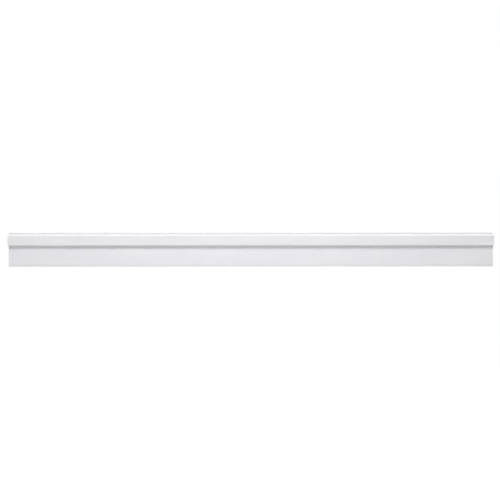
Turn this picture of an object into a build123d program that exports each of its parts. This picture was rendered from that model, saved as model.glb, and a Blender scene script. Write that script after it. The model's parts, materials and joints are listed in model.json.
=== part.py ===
from build123d import *
import os

# A 36 inch door sweep with hidden fixings, in millimetres.
# +X runs along the door, the front faces -Y, and Z is up. The origin is on the door's face, at the
# middle of the line of fixing screws. Every extrusion's section is drawn as (out, up): out is the
# distance from the door's face, and up is the height above the fin's lower edge.

# Driving dimensions
LENGTH = 914.4
HEIGHT = 64.0
DEPTH = 14.0
SCREW_LINE = 50.75  # height of the screw line above the fin's lower edge

# Mounting rail: a back plate with slots, a hinge bead near its top and a channel along its foot
PLATE_BACK = 1.0
PLATE_FRONT = 2.6
LIP_HEIGHT = 2.9  # the part of the rail that stands above the hood
CHANNEL_LOW = 40.2
CHANNEL_HIGH = 45.0
CHANNEL_DEPTH = 8.2
CHANNEL_WALL = 1.2
CHANNEL_BACK_WALL = 1.4
RAIL_ROUNDING = 0.6
SLOT_WIDTH = 4.0
SLOT_HEIGHT = 8.0
SCREW_COUNT = 6
SCREW_PITCH = 164.0

# Hinge bead on the rail, and the hood's socket round it
BEAD_OUT = 5.6
BEAD_UP = 58.8
BEAD_RADIUS = 1.2
NECK_THICKNESS = 1.0
SOCKET_INNER = 1.3
SOCKET_OUTER = 2.3
SOCKET_MOUTH = (80, 210)  # degrees from straight out, by way of up, that the socket leaves open

# Hood
HOOD_WALL = 1.2
HOOD_LOW = 39.45
HOOD_SLOPE = 0.2  # how far the hood's top falls towards its front
SHOULDER_RADIUS = 3.4
NOSE_RADIUS = 1.3
HEEL_RADIUS = 1.5
LATCH_GAP = 0.3
LATCH_TOP = 44.2
LATCH_BEAD_UP = 43.3
LATCH_BEAD_RADIUS = 0.5

# Fin
FIN_THICKNESS = 2.0
FIN_MIDDLE = 4.2
FIN_PIVOT_UP = 38.4
FIN_GAP = 0.3
FIN_TIP_THICKNESS = 1.4
FIN_TIP_HEIGHT = 4.5
FIN_TIP_ROUNDING = 0.4
ROOT_WIDTH = 5.4
ROOT_LOW = 41.4
ROOT_HIGH = 43.6
THROAT = 2.2

# Foam strip behind the rail
SEAL_LOW = 55.4
SEAL_HIGH = 60.4

# Fixing screws: 3.5 mm pan heads
HEAD_RADIUS = 3.4
HEAD_HEIGHT = 2.2
HEAD_ROUNDING = 1.0
HEAD_GAP = 0.1
NECK_RADIUS = 1.5
THREAD_RADIUS = 1.75
THREAD_LENGTH = 13.4
POINT_LENGTH = 3.0
RECESS_SPAN = 3.2
RECESS_WIDTH = 0.8
RECESS_DEPTH = 1.1

# End plugs
PLUG_GAP = 0.2
PLUG_BACK = 3.1
PLUG_LOW = 45.5
PLUG_TOP_OUT = 8.3
PLUG_SHELF = 56.1
PLUG_LEG_OUT = 10.0
PLUG_DEPTH = 8.0
PLUG_PLATE = 1.6
PLUG_WALL = 0.8
PLUG_ROUNDING = 0.4

SECTION = Plane(origin=(LENGTH / 2, 0, -SCREW_LINE), x_dir=(0, -1, 0), z_dir=(-1, 0, 0))


def at_out(out):
    """The upright plane along the door at a distance out."""
    return Plane.XZ.offset(out)


def at_up(up):
    """The level plane along the door at a height up."""
    return Plane.XY.offset(up - SCREW_LINE)


def cut_in_bands(*cuts):
    """Cuts an extrusion along its length into solids that meet face to face.

    Each band is close to its own convex hull, so that collision leaves the extrusion's hollows open.
    """
    for cut in cuts:
        split(bisect_by=cut, keep=Keep.BOTH)


def block(out, up, mode=Mode.ADD):
    """A rectangle of the section, between two distances out and two heights up."""
    with Locations(((out[0] + out[1]) / 2, (up[0] + up[1]) / 2)):
        Rectangle(out[1] - out[0], up[1] - up[0], mode=mode)


# Mounting rail
rail_top = HEIGHT
lip_low = HEIGHT - LIP_HEIGHT
channel_roof = CHANNEL_HIGH - CHANNEL_WALL
channel_floor = CHANNEL_LOW + CHANNEL_WALL
throat_back = FIN_MIDDLE - THROAT / 2
throat_front = FIN_MIDDLE + THROAT / 2

with BuildPart() as mounting_rail:
    with BuildSketch(SECTION) as rail_section:
        block((PLATE_BACK, PLATE_FRONT), (channel_roof, rail_top))
        block((0, PLATE_FRONT), (lip_low, rail_top))
        fillet(rail_section.vertices().group_by(Axis.Y)[-1], RAIL_ROUNDING)
        block((0, CHANNEL_DEPTH), (CHANNEL_LOW, CHANNEL_HIGH))
        block((CHANNEL_BACK_WALL, CHANNEL_DEPTH - CHANNEL_WALL), (channel_floor, channel_roof), Mode.SUBTRACT)
        block((throat_back, throat_front), (CHANNEL_LOW, channel_floor), Mode.SUBTRACT)
        outer_corners = rail_section.vertices().group_by(Axis.X)[-1]
        fillet(outer_corners, RAIL_ROUNDING)
        block((PLATE_FRONT, BEAD_OUT), (BEAD_UP - NECK_THICKNESS / 2, BEAD_UP + NECK_THICKNESS / 2))
        with Locations((BEAD_OUT, BEAD_UP)):
            Circle(BEAD_RADIUS)
        # groove that the hood's latch bead rests in
        with Locations((CHANNEL_DEPTH + LATCH_GAP, LATCH_BEAD_UP)):
            Circle(LATCH_BEAD_RADIUS + LATCH_GAP, mode=Mode.SUBTRACT)
    extrude(amount=LENGTH)
    with BuildSketch(Plane.XZ):
        with GridLocations(SCREW_PITCH, 0, SCREW_COUNT, 1):
            SlotOverall(SLOT_HEIGHT, SLOT_WIDTH, rotation=90)
    extrude(amount=PLATE_FRONT, mode=Mode.SUBTRACT)
    cut_in_bands(at_up(lip_low), at_up(CHANNEL_HIGH), at_up(channel_roof), at_out(PLATE_FRONT))
mounting_rail.part.label = "mounting_rail"

# Hood cover: one wall of even thickness from the socket round to the latch, and the socket
hood_top = BEAD_UP + SOCKET_OUTER
latch_face = CHANNEL_DEPTH + LATCH_GAP

with BuildPart() as hood_cover:
    with BuildSketch(SECTION) as hood_section:
        with BuildLine():
            FilletPolyline(
                (BEAD_OUT, hood_top),
                (DEPTH, hood_top - HOOD_SLOPE),
                (DEPTH, HOOD_LOW),
                (latch_face, HOOD_LOW),
                (latch_face, LATCH_TOP),
                radius=[SHOULDER_RADIUS, NOSE_RADIUS, HEEL_RADIUS],
            )
            offset(amount=HOOD_WALL, side=Side.RIGHT)
        make_face()
        with Locations((BEAD_OUT, BEAD_UP)):
            Circle(SOCKET_OUTER)
            Circle(SOCKET_INNER, mode=Mode.SUBTRACT)
        with BuildLine(Location((BEAD_OUT, BEAD_UP))):
            mouth_start = PolarLine((0, 0), 2 * SOCKET_OUTER, SOCKET_MOUTH[0])
            mouth_end = PolarLine((0, 0), 2 * SOCKET_OUTER, SOCKET_MOUTH[1])
            RadiusArc(mouth_start @ 1, mouth_end @ 1, -2 * SOCKET_OUTER)
        make_face(mode=Mode.SUBTRACT)
        with Locations((latch_face, LATCH_BEAD_UP)):
            Circle(LATCH_BEAD_RADIUS)
    extrude(amount=LENGTH)
    cut_in_bands(
        at_up(BEAD_UP),
        at_up(HOOD_LOW + HEEL_RADIUS),
        at_out(BEAD_OUT + SOCKET_OUTER),
        at_out(latch_face + HEEL_RADIUS),
    )
hood_cover.part.label = "hood_cover"

# Fin: the root fills the rail's channel and the blade swings just below it
fin_back = FIN_MIDDLE - FIN_THICKNESS / 2
fin_front = FIN_MIDDLE + FIN_THICKNESS / 2
fin_radius = FIN_THICKNESS / 2

with BuildPart() as fin_root:
    with BuildSketch(SECTION):
        block((FIN_MIDDLE - ROOT_WIDTH / 2, FIN_MIDDLE + ROOT_WIDTH / 2), (ROOT_LOW, ROOT_HIGH))
        block((fin_back, fin_front), (FIN_PIVOT_UP, ROOT_LOW))
        with Locations((FIN_MIDDLE, FIN_PIVOT_UP)):
            Circle(fin_radius + FIN_GAP, mode=Mode.SUBTRACT)
    extrude(amount=LENGTH)
fin_root.part.label = "fin_root"

with BuildPart() as fin_blade:
    with BuildSketch(SECTION) as blade_section:
        with BuildLine():
            Polyline(
                (fin_back, 0),
                (fin_back + FIN_TIP_THICKNESS, 0),
                (fin_front, FIN_TIP_HEIGHT),
                (fin_front, FIN_PIVOT_UP),
                (fin_back, FIN_PIVOT_UP),
                close=True,
            )
        make_face()
        fillet(blade_section.vertices().group_by(Axis.Y)[0], FIN_TIP_ROUNDING)
        with Locations((FIN_MIDDLE, FIN_PIVOT_UP)):
            Circle(fin_radius)
    extrude(amount=LENGTH)
fin_blade.part.label = "fin_blade"

# Foam strip, stuck to the back plate above the slots
with BuildPart() as back_seal:
    with BuildSketch(SECTION):
        block((0, PLATE_BACK), (SEAL_LOW, SEAL_HIGH))
    extrude(amount=LENGTH)
back_seal.part.label = "back_seal"

# Fixing screws: one turned screw, repeated along the screw line
head_under = -(PLATE_FRONT + HEAD_GAP)
head_top = head_under - HEAD_HEIGHT

with BuildPart() as screw:
    with BuildSketch(Plane.XY) as turned:
        with BuildLine():
            Polyline(
                (0, head_top),
                (HEAD_RADIUS, head_top),
                (HEAD_RADIUS, head_under),
                (NECK_RADIUS, head_under),
                (NECK_RADIUS, 0),
                (THREAD_RADIUS, 0),
                (THREAD_RADIUS, THREAD_LENGTH),
                (0, THREAD_LENGTH + POINT_LENGTH),
                close=True,
            )
        make_face()
        rim = turned.vertices().group_by(Axis.Y)[0].sort_by(Axis.X)[-1]
        fillet(rim, HEAD_ROUNDING)
    revolve(axis=Axis.Y)
    with BuildSketch(Plane.XZ.offset(-head_top)):
        Rectangle(RECESS_SPAN, RECESS_WIDTH)
        Rectangle(RECESS_WIDTH, RECESS_SPAN)
    extrude(amount=-RECESS_DEPTH, mode=Mode.SUBTRACT)

with BuildPart() as fixing_screws:
    with GridLocations(SCREW_PITCH, 0, SCREW_COUNT, 1):
        add(screw.part)
fixing_screws.part.label = "fixing_screws"


def plug_outline():
    """The hood's hollow in front of the rail, less the socket and the latch, with a small gap."""
    out = DEPTH - HOOD_WALL - PLUG_GAP
    up = hood_top - HOOD_SLOPE - HOOD_WALL - PLUG_GAP
    low = HOOD_LOW + HOOD_WALL + PLUG_GAP
    block((PLUG_BACK, out), (PLUG_LOW, PLUG_SHELF))
    block((PLUG_TOP_OUT, out), (PLUG_SHELF, up))
    block((PLUG_LEG_OUT, out), (low, PLUG_LOW))


# End plugs: a plate flush with the hood's end, and a thin wall that grips inside it
plug_face = {"end_plug_right": SECTION, "end_plug_left": SECTION.offset(LENGTH)}
plugs = {}
for name, face in plug_face.items():
    inward = 1 if name == "end_plug_right" else -1
    with BuildPart() as plug:
        with BuildSketch(face) as outline:
            plug_outline()
            front_corners = outline.vertices().group_by(Axis.X)[-1].sort_by(Axis.Y)
            fillet(front_corners[-1], SHOULDER_RADIUS - HOOD_WALL)
            front_corners = outline.vertices().group_by(Axis.X)[-1].sort_by(Axis.Y)
            fillet(front_corners[0], PLUG_ROUNDING)
        extrude(amount=inward * PLUG_DEPTH)
        with BuildSketch(face.offset(inward * PLUG_PLATE)):
            add(outline.sketch_local)
            offset(amount=-PLUG_WALL, mode=Mode.REPLACE)
        extrude(amount=inward * (PLUG_DEPTH - PLUG_PLATE), mode=Mode.SUBTRACT)
    plug.part.label = name
    plugs[name] = plug

os.makedirs("parts", exist_ok=True)
export_step(mounting_rail.part, "parts/mounting_rail.step")
export_step(hood_cover.part, "parts/hood_cover.step")
export_step(fin_root.part, "parts/fin_root.step")
export_step(fin_blade.part, "parts/fin_blade.step")
export_step(back_seal.part, "parts/back_seal.step")
export_step(fixing_screws.part, "parts/fixing_screws.step")
for name, plug in plugs.items():
    export_step(plug.part, f"parts/{name}.step")
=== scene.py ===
"""The looks of a white door sweep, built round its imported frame.

Metres. +X runs along the door, the front faces -Y and Z is up, from the line of fixing screws.
Sections are drawn as (out, up): out is the distance from the door's face and up the height.
"""

import json
import math

import bmesh
import bpy
from mathutils import Matrix, Vector, noise
from mathutils.geometry import tessellate_polygon


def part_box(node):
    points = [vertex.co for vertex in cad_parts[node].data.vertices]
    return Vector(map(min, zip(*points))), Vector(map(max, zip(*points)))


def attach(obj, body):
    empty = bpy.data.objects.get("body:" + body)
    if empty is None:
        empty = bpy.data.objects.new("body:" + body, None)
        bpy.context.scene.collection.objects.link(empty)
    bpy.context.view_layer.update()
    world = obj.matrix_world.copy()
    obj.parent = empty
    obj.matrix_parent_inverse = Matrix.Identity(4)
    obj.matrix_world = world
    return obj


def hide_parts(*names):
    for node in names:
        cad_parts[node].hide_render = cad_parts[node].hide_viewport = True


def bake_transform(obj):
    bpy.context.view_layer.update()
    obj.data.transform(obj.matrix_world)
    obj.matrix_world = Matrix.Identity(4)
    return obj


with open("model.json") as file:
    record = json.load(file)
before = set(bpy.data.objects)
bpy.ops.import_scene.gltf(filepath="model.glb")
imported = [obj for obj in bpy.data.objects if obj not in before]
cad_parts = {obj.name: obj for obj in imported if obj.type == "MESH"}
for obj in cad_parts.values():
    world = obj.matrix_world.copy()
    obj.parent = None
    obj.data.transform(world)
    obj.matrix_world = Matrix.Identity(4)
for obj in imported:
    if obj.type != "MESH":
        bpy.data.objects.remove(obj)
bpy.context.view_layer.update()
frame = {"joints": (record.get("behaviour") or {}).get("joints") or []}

scene = bpy.context.scene
MM = 0.001

# ---------------------------------------------------------------- sizes, from the frame
joints = {j["name"]: j for j in frame["joints"]}
rail_low, rail_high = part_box("mounting_rail")
hood_low, hood_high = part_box("hood_cover")
root_low, root_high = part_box("fin_root")
blade_low, blade_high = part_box("fin_blade")
seal_low, seal_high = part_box("back_seal")

HALF = rail_high.x
BEAD = (-joints["hood_hinge"]["pos_m"][1], joints["hood_hinge"]["pos_m"][2])
PIVOT = (-joints["fin_flex"]["pos_m"][1], joints["fin_flex"]["pos_m"][2])

# the extrusions' own details
PLATE_BACK = 1.0 * MM
PLATE_FRONT = 2.6 * MM
LIP_HEIGHT = 2.9 * MM
CHANNEL_ROOF_THICKNESS = 1.2 * MM
CHANNEL_WALL = 1.2 * MM
CHANNEL_BACK_WALL = 1.4 * MM
CHANNEL_HIGH = -5.75 * MM
RAIL_ROUNDING = 0.6 * MM
THROAT = 2.2 * MM
BEAD_RADIUS = 1.2 * MM
NECK_THICKNESS = 1.0 * MM
SLOT_WIDTH = 4.0 * MM
SLOT_HEIGHT = 8.0 * MM
SCREW_COUNT = 6
SCREW_PITCH = 164.0 * MM
SCREW_PLACES = [(k - (SCREW_COUNT - 1) / 2) * SCREW_PITCH for k in range(SCREW_COUNT)]

SOCKET_INNER = 1.3 * MM
SOCKET_OUTER = 2.3 * MM
SOCKET_MOUTH = (80, 210)
HOOD_WALL = 1.2 * MM
HOOD_SLOPE = 0.2 * MM
SHOULDER_RADIUS = 3.4 * MM
NOSE_RADIUS = 1.3 * MM
HEEL_RADIUS = 1.5 * MM
LATCH_GAP = 0.3 * MM
LATCH_TOP = -6.55 * MM
LATCH_BEAD_UP = -7.45 * MM
LATCH_BEAD_RADIUS = 0.5 * MM

# fixing screws
HEAD_RADIUS = 3.4 * MM
HEAD_HEIGHT = 2.2 * MM
HEAD_ROUNDING = 1.0 * MM
HEAD_GAP = 0.1 * MM
HEAD_BEVEL = 0.12 * MM
NECK_FILLET = 0.25 * MM
NECK_END = -0.5 * MM  # just in front of the door's face, where the thread starts
SCREW_NECK = 1.5 * MM
THREAD_RADIUS = 1.75 * MM
THREAD_CORE = 1.2 * MM
THREAD_PITCH = 1.4 * MM
THREAD_LENGTH = 13.4 * MM
POINT_LENGTH = 3.0 * MM
POINT_RADIUS = 0.02 * MM
CREST_REACH = 0.26  # how much of the pitch the thread's crest slopes over, to each side
ROWS_PER_TURN = 10
SCREW_SIDES = 28
RECESS_DEPTH = 1.3 * MM
RECESS_RISE = 0.3 * MM  # how far the recess's cutter starts above the head
RECESS_TOP = (1.75 * MM, 0.46 * MM)  # half the cross's span and half its arms' width, at the head's face
RECESS_FOOT = (0.75 * MM, 0.3 * MM)
SCREW_TURNS = (12, 71, 38, 55, 3, 84)  # degrees that each screw's recess came to rest at

# end plugs
PLUG_DEPTH = 8.0 * MM
PLUG_PLATE = 1.6 * MM
PLUG_TOP_OUT = 8.3 * MM
PLUG_LEG_OUT = 10.0 * MM
PLUG_LOW = -5.25 * MM
PLUG_SHELF_DROP = 2.7 * MM
PLUG_ROUNDING = 0.4 * MM
PLUG_PLATE_ROUNDING = 0.3 * MM
PLUG_RIM = 0.12 * MM

# fin
FIN_TIP_THICKNESS = 1.4 * MM
FIN_TIP_HEIGHT = 4.5 * MM
FIN_TIP_ROUNDING = 0.4 * MM
FIN_EASING = ((0.05 * MM, -0.25 * MM), (0, 0), (0, 0.3 * MM))  # the taper's top corner, as (inward, up)

# foam strip
SEAL_ROUNDING = 0.22 * MM
SEAL_SPARE = 0.1 * MM  # room above and below for its edges to wander in

# how the flexible and thin pieces wander along their length: each wave's height, seed and length
FIN_WAVES = ((0.35 * MM, 3.1, 0.16), (0.12 * MM, 7.7, 0.045))
HOOD_WAVES = ((0.03 * MM, 11.3, 0.12),)
SEAL_TOP_WAVES = ((0.09 * MM, 5.3, 0.012), (0.045 * MM, 7.3, 0.004))
SEAL_FOOT_WAVES = ((0.09 * MM, 9.1, 0.012), (0.045 * MM, 11.1, 0.004))
NOISE_LEVEL = 0.37  # the level of the noise field that every wave is read at

# mesh detail
RAIL_STEP = 3 * MM
HOOD_STEP = 2 * MM
FIN_STEP = 0.8 * MM
SAME_POINT = 0.002 * MM
SHARP_ANGLE = math.radians(35)
SHORTEST_MITRE = 0.7  # keeps an inset's sharp corners from running away
SLOT_CUT = (1.0 * MM, 0.6 * MM)  # how far the slots' cutter passes the plate's front and back


# ---------------------------------------------------------------- section outlines
def arc(centre, radius, start, end, steps=8):
    """Points on an arc. Angles are in degrees, from straight out (0) by way of up (90)."""
    points = []
    for i in range(steps + 1):
        a = math.radians(start + (end - start) * i / steps)
        points.append((centre[0] + radius * math.cos(a), centre[1] + radius * math.sin(a)))
    return points


def divided(start, end, step):
    """Evenly spaced points along a straight stretch, both ends included, at most step apart."""
    count = max(1, math.ceil(math.dist(start, end) / step))
    return [
        (start[0] + (end[0] - start[0]) * i / count, start[1] + (end[1] - start[1]) * i / count)
        for i in range(count + 1)
    ]


def without_repeats(points):
    """The closed outline without points that fall on their neighbour."""
    kept = []
    for p in points:
        if not kept or math.dist(p, kept[-1]) > SAME_POINT:
            kept.append(p)
    if math.dist(kept[0], kept[-1]) <= SAME_POINT:
        kept.pop()
    return kept


def rail_outline():
    """The plate with its lip, the hinge bead on its neck, and the channel with the latch's groove."""
    top = rail_high.z
    low = rail_low.z
    front = -rail_low.y
    r = RAIL_ROUNDING
    lip_low = top - LIP_HEIGHT
    roof = CHANNEL_HIGH - CHANNEL_ROOF_THICKNESS
    floor = low + CHANNEL_WALL
    throat_back = PIVOT[0] - THROAT / 2
    throat_front = PIVOT[0] + THROAT / 2
    neck = NECK_THICKNESS / 2
    neck_angle = math.degrees(math.asin(neck / BEAD_RADIUS))
    latch = (front + LATCH_GAP, LATCH_BEAD_UP)
    groove = LATCH_BEAD_RADIUS + LATCH_GAP
    groove_angle = math.degrees(math.acos(LATCH_GAP / groove))
    points = arc((r, top - r), r, 180, 90)
    points += arc((PLATE_FRONT - r, top - r), r, 90, 0)
    points += [(PLATE_FRONT, BEAD[1] + neck)]
    points += arc(BEAD, BEAD_RADIUS, 180 - neck_angle, neck_angle - 180, 28)
    points += [(PLATE_FRONT, BEAD[1] - neck)]
    points += divided((PLATE_FRONT, BEAD[1] - neck), (PLATE_FRONT, CHANNEL_HIGH), RAIL_STEP)
    points += arc((front - r, CHANNEL_HIGH - r), r, 90, 0)
    points += arc(latch, groove, 180 - groove_angle, 180 + groove_angle, 10)
    points += arc((front - r, low + r), r, 0, -90)
    points += [(throat_front, low), (throat_front, floor), (front - CHANNEL_WALL, floor)]
    points += [(front - CHANNEL_WALL, roof), (CHANNEL_BACK_WALL, roof), (CHANNEL_BACK_WALL, floor)]
    points += [(throat_back, floor), (throat_back, low), (0, low), (0, CHANNEL_HIGH)]
    points += divided((PLATE_BACK, CHANNEL_HIGH), (PLATE_BACK, lip_low), RAIL_STEP)
    points += [(0, lip_low)]
    return without_repeats(points)


def hood_outline():
    """One wall from the socket over the shoulder and round the nose to the latch, and back inside."""
    out = -hood_low.y
    low = hood_low.z
    top = BEAD[1] + SOCKET_OUTER
    fall = HOOD_SLOPE / (out - BEAD[0])
    tilt = math.degrees(math.atan(fall))
    mouth = math.radians(SOCKET_MOUTH[0])
    mouth_out = BEAD[0] + SOCKET_OUTER / math.tan(mouth)
    shoulder = (out - SHOULDER_RADIUS, top - HOOD_SLOPE - SHOULDER_RADIUS)
    nose = (out - NOSE_RADIUS, low + NOSE_RADIUS)
    latch = -rail_low.y + LATCH_GAP
    heel = (latch + HEEL_RADIUS, low + HEEL_RADIUS)
    wall = HOOD_WALL
    under = top - HOOD_SLOPE / 2 - wall
    meet = math.degrees(math.asin((under - BEAD[1]) / SOCKET_OUTER))
    points = [(mouth_out, top - (mouth_out - BEAD[0]) * fall)]
    points += arc(shoulder, SHOULDER_RADIUS, 90 - tilt, 0, 16)
    points += divided((out, shoulder[1]), (out, nose[1]), HOOD_STEP)
    points += arc(nose, NOSE_RADIUS, 0, -90, 14)
    points += arc(heel, HEEL_RADIUS, 270, 180, 8)
    points += arc((latch, LATCH_BEAD_UP), LATCH_BEAD_RADIUS, 270, 90, 10)
    points += [(latch, LATCH_TOP), (latch + wall, LATCH_TOP)]
    points += arc(heel, HEEL_RADIUS - wall, 180, 270, 4)
    points += arc(nose, NOSE_RADIUS - wall, -90, 0, 12)
    points += divided((out - wall, nose[1]), (out - wall, shoulder[1]), HOOD_STEP)
    points += arc(shoulder, SHOULDER_RADIUS - wall, 0, 90 - tilt, 14)
    points += arc(BEAD, SOCKET_OUTER, meet, SOCKET_MOUTH[1] - 360, 24)
    points += arc(BEAD, SOCKET_INNER, SOCKET_MOUTH[1] - 360, SOCKET_MOUTH[0], 30)
    return without_repeats(points)


def fin_outline():
    """The T root in the channel and the blade below it, as one piece of vinyl."""
    back = -blade_high.y
    front = -blade_low.y
    low = blade_low.z
    r = FIN_TIP_ROUNDING
    head_back, head_front = -root_high.y, -root_low.y
    head_low = rail_low.z + CHANNEL_WALL
    head_high = root_high.z
    lean = math.atan2(front - back - FIN_TIP_THICKNESS, FIN_TIP_HEIGHT)
    points = [(back, head_low)]
    points += divided((back, head_low), (back, low + r), FIN_STEP)
    points += arc((back + r, low + r), r, 180, 270, 5)
    tip_out = back + FIN_TIP_THICKNESS - r * math.tan(math.pi / 4 - lean / 2)
    points += arc((tip_out, low + r), r, 270, 360 - math.degrees(lean), 5)
    points += [(front - inward, low + FIN_TIP_HEIGHT + up) for inward, up in FIN_EASING]
    points += divided(points[-1], (front, head_low), FIN_STEP)
    points += [(head_front, head_low), (head_front, head_high)]
    points += [(head_back, head_high), (head_back, head_low)]
    return without_repeats(points)


# ---------------------------------------------------------------- meshes
def finished(name, mesh):
    """A mesh object in the scene, smooth but for its real corners."""
    obj = bpy.data.objects.new(name, mesh)
    scene.collection.objects.link(obj)
    mesh.shade_smooth()
    mesh.set_sharp_from_angle(angle=SHARP_ANGLE)
    return obj


def inset(outline, amount):
    """The outline moved into its material by amount, for the small bevel at a cut end."""
    area = sum(a[0] * b[1] - b[0] * a[1] for a, b in zip(outline, outline[1:] + outline[:1]))
    side = 1 if area > 0 else -1
    moved = []
    for i, p in enumerate(outline):
        before, after = outline[i - 1], outline[(i + 1) % len(outline)]
        normals = []
        for a, b in ((before, p), (p, after)):
            d = Vector((b[0] - a[0], b[1] - a[1])).normalized()
            normals.append(Vector((-d.y, d.x)) * side)
        n = normals[0] + normals[1]
        n = n / max(n.length_squared / 2, SHORTEST_MITRE)
        moved.append((p[0] + n.x * amount, p[1] + n.y * amount))
    return moved


def loft(name, rings, drift=None):
    """A closed skin through rings of (x, outline), capped at both ends with the second material."""
    verts, faces = [], []
    for x, ring in rings:
        for out, up in ring:
            d_out, d_up = drift(x, out, up) if drift else (0, 0)
            verts.append((x, -(out + d_out), up + d_up))
    n = len(rings[0][1])
    for k in range(len(rings) - 1):
        for i in range(n):
            j = (i + 1) % n
            faces.append((k * n + i, k * n + j, (k + 1) * n + j, (k + 1) * n + i))
    sides = len(faces)
    for start, (_, ring) in ((0, rings[0]), (len(verts) - n, rings[-1])):
        flat = [[Vector((out, up, 0)) for out, up in ring]]
        faces += [tuple(start + i for i in corner) for corner in tessellate_polygon(flat)]
    mesh = bpy.data.meshes.new(name)
    mesh.from_pydata(verts, [], faces)
    for polygon in mesh.polygons[sides:]:
        polygon.material_index = 1
    outward(mesh)
    return finished(name, mesh)


def outward(mesh):
    """Turns every face outward."""
    work = bmesh.new()
    work.from_mesh(mesh)
    bmesh.ops.recalc_face_normals(work, faces=work.faces)
    work.to_mesh(mesh)
    work.free()


def extrusion(name, outline, stations, bevel, drift=None):
    """A closed bar of the outline's section along X, with a small bevel at its sawn ends."""
    smaller = inset(outline, bevel)
    span = 2 * (HALF - bevel)
    xs = [-HALF + bevel + span * i / stations for i in range(stations + 1)]
    return loft(name, [(-HALF, smaller)] + [(x, outline) for x in xs] + [(HALF, smaller)], drift)


def boolean_cut(obj, cutter):
    """Cuts one mesh by another and deletes the cutter."""
    modifier = obj.modifiers.new("cut", "BOOLEAN")
    modifier.operation = "DIFFERENCE"
    modifier.solver = "EXACT"
    modifier.object = cutter
    bpy.context.view_layer.update()
    evaluated = obj.evaluated_get(bpy.context.evaluated_depsgraph_get())
    result = bpy.data.meshes.new_from_object(evaluated)
    obj.modifiers.clear()
    old = obj.data
    obj.data = result
    bpy.data.meshes.remove(old)
    bpy.data.objects.remove(cutter)
    obj.data.set_sharp_from_angle(angle=SHARP_ANGLE)


def slot_cutter():
    """The rail's upright slots, as one mesh of separate rounded bars through the back plate."""
    ends = (-PLATE_FRONT - SLOT_CUT[0], -PLATE_BACK + SLOT_CUT[1])
    reach = (SLOT_HEIGHT - SLOT_WIDTH) / 2
    ring = arc((0, reach), SLOT_WIDTH / 2, 0, 180, 16) + arc((0, -reach), SLOT_WIDTH / 2, 180, 360, 16)
    verts, faces = [], []
    n = len(ring)
    for middle in SCREW_PLACES:
        base = len(verts)
        for y in ends:
            verts += [(middle + x, y, z) for x, z in ring]
        faces.append(tuple(base + i for i in range(n)))
        faces.append(tuple(base + n + i for i in reversed(range(n))))
        faces += [(base + i, base + n + i, base + n + (i + 1) % n, base + (i + 1) % n) for i in range(n)]
    return cutting_tool("slot_cutter", verts, faces)


def cutting_tool(name, verts, faces):
    """A closed mesh object for boolean_cut, which deletes it."""
    mesh = bpy.data.meshes.new(name)
    mesh.from_pydata(verts, [], faces)
    outward(mesh)
    cutter = bpy.data.objects.new(name, mesh)
    scene.collection.objects.link(cutter)
    return cutter


def wander(x, waves):
    """How far the bar wanders at x: a sum of smooth waves."""
    places = [Vector((x / length, seed, NOISE_LEVEL)) for _, seed, length in waves]
    return sum(wave[0] * noise.noise(place) for wave, place in zip(waves, places))


def fin_drift(x, out, up):
    """Soft vinyl never hangs quite flat: it wanders a little more towards its tip."""
    hang = min(max((PIVOT[1] - up) / (PIVOT[1] - blade_low.z), 0), 1)
    return wander(x, FIN_WAVES) * hang, 0.0


def hood_drift(x, out, up):
    """The thin hood is straight to within a few hundredths of a millimetre."""
    return wander(x, HOOD_WAVES), 0.0


# ---------------------------------------------------------------- materials
NOISE_SPAN = (0.3, 0.7)


def srgb(*channels):
    """Linear colour from the screen values of any but a nearly black colour."""
    linear = [((c / 255 + 0.055) / 1.055) ** 2.4 for c in channels]
    return (*linear, 1.0)


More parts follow.
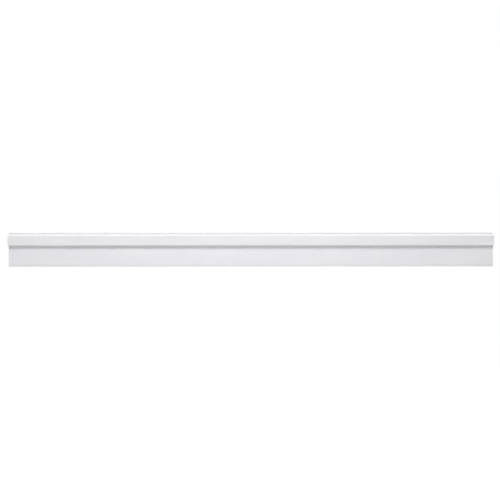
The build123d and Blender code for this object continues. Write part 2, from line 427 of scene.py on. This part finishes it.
class Surface:
    """A Principled material with small helpers for procedural detail in object space."""

    def __init__(self, name, roughness, metallic=0.0, specular=0.5):
        self.material = bpy.data.materials.new(name)
        self.material.use_nodes = True
        self.nodes = self.material.node_tree.nodes
        self.links = self.material.node_tree.links
        self.shader = self.nodes["Principled BSDF"]
        self.shader.inputs["Roughness"].default_value = roughness
        self.shader.inputs["Metallic"].default_value = metallic
        self.shader.inputs["Specular IOR Level"].default_value = specular
        self.coordinates = self.nodes.new("ShaderNodeTexCoord")
        self.relief = None

    def texture(self, kind, scale):
        """A texture node whose scale is given for each axis, in features per metre."""
        mapping = self.nodes.new("ShaderNodeMapping")
        mapping.inputs["Scale"].default_value = scale
        texture = self.nodes.new(kind)
        texture.inputs["Scale"].default_value = 1.0
        self.links.new(self.coordinates.outputs["Object"], mapping.inputs["Vector"])
        self.links.new(mapping.outputs["Vector"], texture.inputs["Vector"])
        return texture

    def noise(self, scale, detail=2.0):
        """Soft clouds, for colour and relief."""
        texture = self.texture("ShaderNodeTexNoise", scale)
        texture.inputs["Detail"].default_value = detail
        return texture.outputs["Fac"]

    def cells(self, scale):
        """Round pores, for foam."""
        return self.texture("ShaderNodeTexVoronoi", scale).outputs["Distance"]

    def colour(self, value, low, high):
        """The base colour, from low to high over the part of the value's range that noise fills."""
        ramp = self.nodes.new("ShaderNodeValToRGB")
        for element, position, colour in zip(ramp.color_ramp.elements, NOISE_SPAN, (low, high)):
            element.position = position
            element.color = colour
        self.links.new(value, ramp.inputs["Fac"])
        self.links.new(ramp.outputs["Color"], self.shader.inputs["Base Color"])

    def rough(self, value, low, high):
        """The roughness, from low to high over the same part of the value's range."""
        spread = self.nodes.new("ShaderNodeMapRange")
        spread.inputs["From Min"].default_value, spread.inputs["From Max"].default_value = NOISE_SPAN
        spread.inputs["To Min"].default_value = low
        spread.inputs["To Max"].default_value = high
        self.links.new(value, spread.inputs["Value"])
        self.links.new(spread.outputs["Result"], self.shader.inputs["Roughness"])

    def bump(self, value, depth):
        """Adds relief of that depth in metres on top of any relief that is there."""
        node = self.nodes.new("ShaderNodeBump")
        node.inputs["Strength"].default_value = 1.0
        node.inputs["Distance"].default_value = depth
        self.links.new(value, node.inputs["Height"])
        if self.relief is not None:
            self.links.new(self.relief, node.inputs["Normal"])
        self.relief = node.outputs["Normal"]
        self.links.new(self.relief, self.shader.inputs["Normal"])


def extruded(name, light, dark, roughness, line_depth, grain_depth):
    """White stock drawn through a die: faint lines along its length, a fine grain and slow clouding."""
    s = Surface(name, roughness)
    s.colour(s.noise((9, 60, 60), 3.0), dark, light)
    s.rough(s.noise((25, 240, 240)), roughness - 0.05, roughness + 0.05)
    s.bump(s.noise((1.5, 1400, 1400)), line_depth)
    s.bump(s.noise((2600, 2600, 2600), 1.0), grain_depth)
    return s.material


def cut_face(name, light, dark, roughness, metallic=0.0):
    """A sawn end: fine parallel scratches across the section."""
    s = Surface(name, roughness, metallic)
    s.colour(s.noise((300, 300, 2200)), dark, light)
    s.bump(s.noise((200, 160, 3800)), 0.02 * MM)
    return s.material


def foam_material():
    s = Surface("seal_foam", 0.9, specular=0.2)
    s.colour(s.noise((700, 700, 700), 3.0), srgb(118, 118, 116), srgb(150, 150, 147))
    s.bump(s.cells((2400, 2400, 2400)), 0.08 * MM)
    return s.material


def zinc_material():
    s = Surface("zinc_plate", 0.28, metallic=1.0)
    s.colour(s.noise((420, 420, 420), 3.0), srgb(196, 197, 200), srgb(222, 222, 220))
    s.rough(s.noise((900, 900, 900)), 0.2, 0.38)
    s.bump(s.noise((3000, 3000, 3000), 1.0), 0.004 * MM)
    return s.material


def moulded_material():
    s = Surface("moulded_plastic", 0.5)
    s.colour(s.noise((60, 60, 60)), srgb(228, 228, 229), srgb(234, 234, 235))
    s.bump(s.noise((3200, 3200, 3200)), 0.012 * MM)
    return s.material


# the last two numbers of each are the depths of its die lines and of its grain
rail_paint = extruded(
    "rail_paint", srgb(229, 229, 231), srgb(224, 224, 226), 0.30, 0.004 * MM, 0.006 * MM
)
hood_plastic = extruded(
    "hood_plastic", srgb(235, 235, 236), srgb(230, 230, 232), 0.44, 0.005 * MM, 0.003 * MM
)
fin_vinyl = extruded(
    "fin_vinyl", srgb(238, 237, 240), srgb(234, 233, 237), 0.52, 0.006 * MM, 0.005 * MM
)
cut_aluminium = cut_face("cut_aluminium", srgb(214, 214, 216), srgb(188, 188, 191), 0.32, metallic=1.0)
cut_plastic = cut_face("cut_plastic", srgb(232, 232, 234), srgb(222, 222, 225), 0.6)
cut_vinyl = cut_face("cut_vinyl", srgb(228, 227, 233), srgb(218, 217, 224), 0.65)
seal_foam = foam_material()
screw_zinc = zinc_material()
moulded_plastic = moulded_material()


# ---------------------------------------------------------------- the pieces
def dress(obj, *materials):
    """Gives a piece its materials: the first for its sides and the second for its cut ends."""
    obj.data.materials.clear()
    for material in materials:
        obj.data.materials.append(material)


def make_rail():
    rail = extrusion("rail_extrusion", rail_outline(), stations=48, bevel=0.12 * MM)
    dress(rail, rail_paint, cut_aluminium)
    boolean_cut(rail, slot_cutter())
    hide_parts("mounting_rail")
    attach(rail, "rail")


def make_hood():
    hood = extrusion("hood_extrusion", hood_outline(), stations=72, bevel=0.12 * MM, drift=hood_drift)
    dress(hood, hood_plastic, cut_plastic)
    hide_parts("hood_cover")
    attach(hood, "hood")


def make_fin():
    fin = extrusion("vinyl_fin", fin_outline(), stations=180, bevel=0.1 * MM, drift=fin_drift)
    dress(fin, fin_vinyl, cut_vinyl)
    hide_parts("fin_root", "fin_blade")
    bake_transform(fin)


def seal_drift(x, out, up):
    """Sliced foam: its front and back are held, and its two long edges wander."""
    middle = (seal_low.z + seal_high.z) / 2
    edge = abs(up - middle) / (seal_high.z - middle)
    return 0.0, edge * wander(x, SEAL_TOP_WAVES if up > middle else SEAL_FOOT_WAVES)


def make_seal():
    r = SEAL_ROUNDING
    back, front = -seal_high.y, -seal_low.y
    low, high = seal_low.z + SEAL_SPARE, seal_high.z - SEAL_SPARE
    outline = arc((front - r, high - r), r, 0, 90, 4) + arc((back + r, high - r), r, 90, 180, 4)
    outline += arc((back + r, low + r), r, 180, 270, 4) + arc((front - r, low + r), r, 270, 360, 4)
    outline = without_repeats(outline)
    seal = extrusion("foam_strip", outline, stations=320, bevel=0.08 * MM, drift=seal_drift)
    dress(seal, seal_foam, seal_foam)
    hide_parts("back_seal")
    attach(seal, "rail")


def plug_outline():
    """The L-shaped hollow of the hood in front of the rail, as the CAD plugs fill it."""
    box_low, box_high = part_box("end_plug_right")
    back, out = -box_high.y, -box_low.y
    low, up = box_low.z, box_high.z
    shelf = BEAD[1] - PLUG_SHELF_DROP
    r, corner = SHOULDER_RADIUS - HOOD_WALL, PLUG_ROUNDING
    points = arc((out - r, up - r), r, 0, 90, 8)
    points += arc((PLUG_TOP_OUT + corner, up - corner), corner, 90, 180, 4)
    points += [(PLUG_TOP_OUT, shelf)]
    points += arc((back + corner, shelf - corner), corner, 90, 180, 4)
    points += arc((back + corner, PLUG_LOW + corner), corner, 180, 270, 4)
    points += [(PLUG_LEG_OUT, PLUG_LOW)]
    points += arc((PLUG_LEG_OUT + corner, low + corner), corner, 180, 270, 4)
    points += arc((out - corner, low + corner), corner, 270, 360, 6)
    return without_repeats(points)


def make_plug(node, side):
    """A moulded cup: a plate flush with the hood's end, and a thin drafted wall that grips inside it."""
    outline = plug_outline()
    plate = HALF - PLUG_PLATE
    deep = HALF - PLUG_DEPTH
    rim = PLUG_RIM
    rounding = PLUG_PLATE_ROUNDING
    # each ring's place along the door, and how far it is inset in millimetres
    outside = [(HALF, 0.3), (HALF - rounding * 0.3, 0.09), (HALF - rounding, 0.0)]
    outside += [(plate, 0.02), (deep + rim, 0.1)]
    mouth = [(deep, 0.2), (deep, 0.62)]
    inside = [(deep + rim, 0.74), (plate - rounding, 0.82), (plate, 1.1)]
    rings = [(side * x, inset(outline, depth * MM)) for x, depth in outside + mouth + inside]
    plug = loft(f"{node}_moulding", rings)
    dress(plug, moulded_plastic, moulded_plastic)
    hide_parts(node)
    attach(plug, "hood")


def screw_profile():
    """(y, core radius, thread depth) along one screw, from the head's middle to its point."""
    under = -(PLATE_FRONT + HEAD_GAP)
    top = under - HEAD_HEIGHT
    tip = THREAD_LENGTH + POINT_LENGTH
    plain = [(top, 0.0), (top, 0.5 * HEAD_RADIUS)]
    for out, up in arc((0, 0), HEAD_ROUNDING, 90, 0, 6):
        plain.append((top + HEAD_ROUNDING - up, HEAD_RADIUS - HEAD_ROUNDING + out))
    plain += [(under - HEAD_BEVEL, HEAD_RADIUS), (under, HEAD_RADIUS - HEAD_BEVEL)]
    plain += [(under, SCREW_NECK + NECK_FILLET), (under + NECK_FILLET, SCREW_NECK), (NECK_END, SCREW_NECK)]
    rows = [(y, radius, 0.0) for y, radius in plain]
    steps = round(tip / THREAD_PITCH * ROWS_PER_TURN)
    for i in range(steps + 1):
        y = tip * i / steps
        taper = min(1.0, (tip - y) / POINT_LENGTH)
        start = min(1.0, y / THREAD_PITCH)
        depth = (THREAD_RADIUS - THREAD_CORE) * start * taper
        rows.append((y, max(THREAD_CORE * taper, POINT_RADIUS), depth))
    return rows


def make_screws():
    """Six self-tapping pan head screws with a real thread and a cross recess."""
    rows = screw_profile()
    around = SCREW_SIDES
    verts, faces = [(0, rows[0][0], 0)], []
    for y, radius, depth in rows[1:]:
        for k in range(around):
            turn = k / around
            phase = (y / THREAD_PITCH - turn) % 1.0
            crest = max(0.0, 1 - abs(phase - 0.5) / CREST_REACH)
            r = radius + depth * crest
            verts.append((r * math.cos(math.tau * turn), y, r * math.sin(math.tau * turn)))
    for k in range(around):
        faces.append((0, 1 + k, 1 + (k + 1) % around))
    for row in range(len(rows) - 2):
        base = 1 + row * around
        for k in range(around):
            j = (k + 1) % around
            faces.append((base + k, base + around + k, base + around + j, base + j))
    last = len(verts) - around
    verts.append((0, rows[-1][0] + 2.5 * POINT_RADIUS, 0))
    faces += [(last + k, len(verts) - 1, last + (k + 1) % around) for k in range(around)]
    mesh = bpy.data.meshes.new("screw")
    mesh.from_pydata(verts, [], faces)
    outward(mesh)
    screw = finished("screw", mesh)
    boolean_cut(screw, recess_cutter(rows[0][0]))

    whole = bmesh.new()
    for middle, turn in zip(SCREW_PLACES, SCREW_TURNS):
        place = Matrix.Translation((middle, 0, 0))
        turned = screw.data.copy()
        turned.transform(place @ Matrix.Rotation(math.radians(turn), 4, "Y"))
        whole.from_mesh(turned)
        bpy.data.meshes.remove(turned)
    mesh = bpy.data.meshes.new("pan_head_screws")
    whole.to_mesh(mesh)
    whole.free()
    bpy.data.objects.remove(screw)
    screws = finished("pan_head_screws", mesh)
    dress(screws, screw_zinc)
    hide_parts("fixing_screws")
    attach(screws, "fixings")


def recess_cutter(top):
    """A tapered cross, wide at the head's face and narrow at its foot."""
    verts = []
    for y, (span, width) in ((top - RECESS_RISE, RECESS_TOP), (top + RECESS_DEPTH, RECESS_FOOT)):
        for quarter in range(4):
            a = math.tau * quarter / 4
            for along, across in ((width, -width), (span, -width), (span, width)):
                x = along * math.cos(a) - across * math.sin(a)
                z = along * math.sin(a) + across * math.cos(a)
                verts.append((x, y, z))
    n = len(verts) // 2
    faces = [tuple(range(n)), tuple(reversed(range(n, 2 * n)))]
    faces += [(i, n + i, n + (i + 1) % n, (i + 1) % n) for i in range(n)]
    return cutting_tool("recess_cutter", verts, faces)


make_rail()
make_hood()
make_fin()
make_seal()
make_screws()
make_plug("end_plug_right", 1)
make_plug("end_plug_left", -1)


# ---------------------------------------------------------------- stage, light and camera
FLOOR_UP = -1.0
FLOOR_REACH = 7.0
FLOOR_CORNERS = 180
BELT_TOP = (0.24, 0.34)  # sine of the height where the belt starts and ends its fade
ZENITH = 0.12
PALE = 0.6
BACKDROP = (0.5, 0.9)  # how far round to the back the sky starts and ends its fade to white
SKY_POWER = 1.0
SUN_POWER = 0.79
SUN_ANGLE = math.radians(20)
# each area light's place, the place it faces, its size, its power, its spread in degrees and its colour
LIGHTS = {
    "key_left": ((-0.34, -1.0, 0.78), (-0.05, 0, -0.02), (0.3, 0.5), 7.35),
    "key_right": ((0.51, -1.0, 0.78), (0.05, 0, -0.02), (0.3, 0.5), 3.85),
    "side_right": ((0.9, -0.6, 1.1), (0.3, 0, 0), (0.3, 0.3), 0.8),
    "front": ((0, -0.8, -0.15), (0, 0, -0.02), (0.3, 0.15), 0.7, 180, (0.92, 0.95, 1.0)),
    "top_left": ((-0.62, -0.12, 0.75), (-0.5, 0, 0), (0.3, 0.2), 1.35),
    "top_right": ((0.62, -0.12, 0.75), (0.5, 0, 0), (0.3, 0.2), 1.35),
    "back_left": ((-0.8, 0.9, 0.6), (-0.45, 0, 0), (0.4, 0.3), 1.9),
    "back_right": ((0.8, 0.9, 0.6), (0.45, 0, 0), (0.4, 0.3), 1.9),
    "floor_wash": ((0, 2.8, 2.5), (0, 4.9, -1.0), (6.5, 1.5), 470.0, 110),
}

CAMERA_DISTANCE = 2.0
CAMERA_LENS = 76.3
CAMERA_LEFT = 0.0015
CAMERA_DROP = 0.0008
CAMERA_ROLL = 0.04  # degrees
MIDDLE_UP = (rail_high.z + blade_low.z) / 2


def area_light(name, place, target, size, power, spread=180, colour=(1, 1, 1)):
    """A soft box that faces its target and that the camera doesn't see."""
    data = bpy.data.lights.new(name, "AREA")
    data.shape = "RECTANGLE"
    data.size, data.size_y = size
    data.energy = power
    data.color = colour
    data.spread = math.radians(spread)
    light = bpy.data.objects.new(name, data)
    light.location = place
    light.rotation_euler = (Vector(target) - Vector(place)).to_track_quat("-Z", "Y").to_euler()
    light.visible_camera = False
    scene.collection.objects.link(light)


def make_floor():
    """A pale round floor, so that its far edge is level from every side."""
    mesh = bpy.data.meshes.new("floor")
    turns = [math.tau * i / FLOOR_CORNERS for i in range(FLOOR_CORNERS)]
    rim = [(FLOOR_REACH * math.cos(t), FLOOR_REACH * math.sin(t), FLOOR_UP) for t in turns]
    mesh.from_pydata(rim, [], [tuple(range(FLOOR_CORNERS))])
    floor = bpy.data.objects.new("floor", mesh)
    scene.collection.objects.link(floor)
    s = Surface("floor_paint", 0.9, specular=0.1)
    s.colour(s.noise((0.6, 0.6, 0.6), 1.0), srgb(250, 250, 250), srgb(252, 252, 252))
    floor.data.materials.append(s.material)


def make_sky():
    """Pale all round the horizon, white behind the object, and a darker sky above."""
    world = bpy.data.worlds.new("studio")
    scene.world = world
    world.use_nodes = True
    nodes, links = world.node_tree.nodes, world.node_tree.links
    direction = nodes.new("ShaderNodeTexCoord")
    split = nodes.new("ShaderNodeSeparateXYZ")
    links.new(direction.outputs["Generated"], split.inputs["Vector"])

    def fade(axis, start, end, low, high):
        """A smooth change from low to high as the direction's axis goes from start to end."""
        ramp = nodes.new("ShaderNodeMapRange")
        ramp.interpolation_type = "SMOOTHSTEP"
        links.new(split.outputs[axis], ramp.inputs["Value"])
        for name, value in zip(("From Min", "From Max", "To Min", "To Max"), (start, end, low, high)):
            ramp.inputs[name].default_value = value
        return ramp.outputs["Result"]

    both = nodes.new("ShaderNodeMath")
    both.operation = "MULTIPLY"
    links.new(fade("Z", *BELT_TOP, 1.0, ZENITH), both.inputs[0])
    links.new(fade("Y", *BACKDROP, PALE, 1.0), both.inputs[1])
    links.new(both.outputs["Value"], nodes["Background"].inputs["Color"])
    nodes["Background"].inputs["Strength"].default_value = SKY_POWER


make_floor()
make_sky()
for name, settings in LIGHTS.items():
    area_light(name, *settings)

overhead_data = bpy.data.lights.new("overhead", "SUN")
overhead_data.energy = SUN_POWER
overhead_data.angle = SUN_ANGLE
overhead = bpy.data.objects.new("overhead", overhead_data)
scene.collection.objects.link(overhead)

camera_data = bpy.data.cameras.new("camera")
camera_data.lens = CAMERA_LENS
camera_data.sensor_width = 36
camera = bpy.data.objects.new("camera", camera_data)
camera.location = (-CAMERA_LEFT, blade_low.y - CAMERA_DISTANCE, MIDDLE_UP - CAMERA_DROP)
camera.rotation_euler = (math.radians(90), math.radians(CAMERA_ROLL), 0)
scene.collection.objects.link(camera)
scene.camera = camera
scene.view_settings.view_transform = "Standard"
